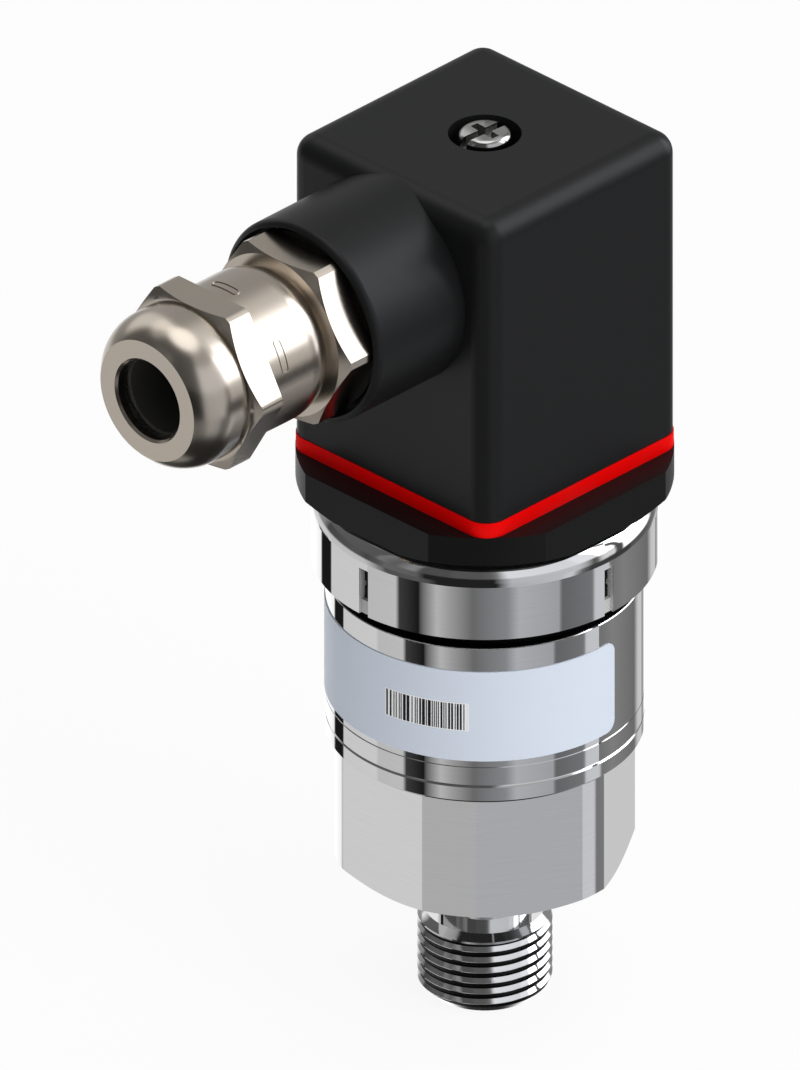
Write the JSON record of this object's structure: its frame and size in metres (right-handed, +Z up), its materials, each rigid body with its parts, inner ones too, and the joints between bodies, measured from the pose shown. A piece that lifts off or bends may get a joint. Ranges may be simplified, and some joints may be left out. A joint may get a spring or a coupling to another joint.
{
  "type": "pressure transmitter",
  "caption": "Steel pressure transmitter with a threaded port, spanner hexagon, slim can, rolled collar and a square black plug connector with a side cable gland on a red gasket.",
  "frame": {"origin": "the middle of the port's thread, on its axis", "axes": "+Z up the can from the port to the plug; the cable gland points along -Y; +X to the right seen from the gland"},
  "size_m": [0.0337, 0.0637, 0.0952],
  "materials": {
    "turned_steel": "fine turned, satin",
    "polished_steel": "polished, fine hoop brushing",
    "label_film": "printed film, smooth",
    "black_plastic": "moulded, fine spark texture",
    "hood_plastic": "moulded, fine satin",
    "red_rubber": "smooth silicone",
    "black_rubber": "smooth",
    "nickel_brass": "nickel plated, satin",
    "brass": "turned",
    "contact_metal": "tin plated",
    "screw_steel": "zinc plated, bright",
    "circuit_board": "solder mask",
    "chip_black": "moulded",
    "capacitor_tan": "fired",
    "wire_red": "insulated"
  },
  "bodies": {
    "housing": {"port_body": "turned_steel", "housing_can": "polished_steel", "label": "label_film", "collar_ring": "polished_steel", "connector_base": "black_plastic", "base_seal": "black_rubber", "nut_insert": "brass", "tab_1": "contact_metal", "tab_2": "contact_metal", "tab_3": "contact_metal", "tab_earth": "contact_metal", "pressure_cell": "turned_steel", "strain_chip": "chip_black", "board_support": "black_plastic", "cell_board": "circuit_board", "signal_board": "circuit_board", "amplifier_chip": "chip_black", "capacitors": "capacitor_tan", "lead_wires": "wire_red"},
    "plug": {"hood": "hood_plastic", "profile_gasket": "red_rubber", "contact_block": "black_plastic", "terminal_1": "contact_metal", "terminal_2": "contact_metal", "terminal_3": "contact_metal", "terminal_earth": "contact_metal", "terminal_screws": "screw_steel", "gland_body": "nickel_brass", "gland_seal": "black_rubber", "gland_insert": "black_rubber"},
    "screw_seal": {"screw_seal": "black_rubber"},
    "hood_screw": {"hood_screw": "screw_steel"},
    "gland_washer": {"gland_washer": "nickel_brass"},
    "gland_nut": {"gland_nut": "nickel_brass"}
  },
  "joints": [
    {"name": "plug_pull", "type": "slide", "parent": "housing", "child": "plug", "axis": [0, 0, 1], "range_m": [0, 0.022]},
    {"name": "hood_screw_rise", "type": "slide", "parent": "plug", "child": "screw_seal", "axis": [0, 0, 1], "range_m": [0, 0.005]},
    {"name": "hood_screw_turn", "type": "hinge", "parent": "screw_seal", "child": "hood_screw", "pos_m": [0, 0, 0.0905], "axis": [0, 0, 1], "range_deg": [0, 3600]},
    {"name": "gland_nut_travel", "type": "slide", "parent": "plug", "child": "gland_washer", "axis": [0, -1, 0], "range_m": [0, 0.00564]},
    {"name": "gland_nut_turn", "type": "hinge", "parent": "gland_washer", "child": "gland_nut", "pos_m": [0, -0.042, 0.0799], "axis": [0, -1, 0], "range_deg": [0, 1440]}
  ],
  "couplings": [
    {"joint": "hood_screw_turn", "follows": "hood_screw_rise", "rad_per_m": 12566},
    {"joint": "gland_nut_turn", "follows": "gland_nut_travel", "rad_per_m": 4453}
  ]
}
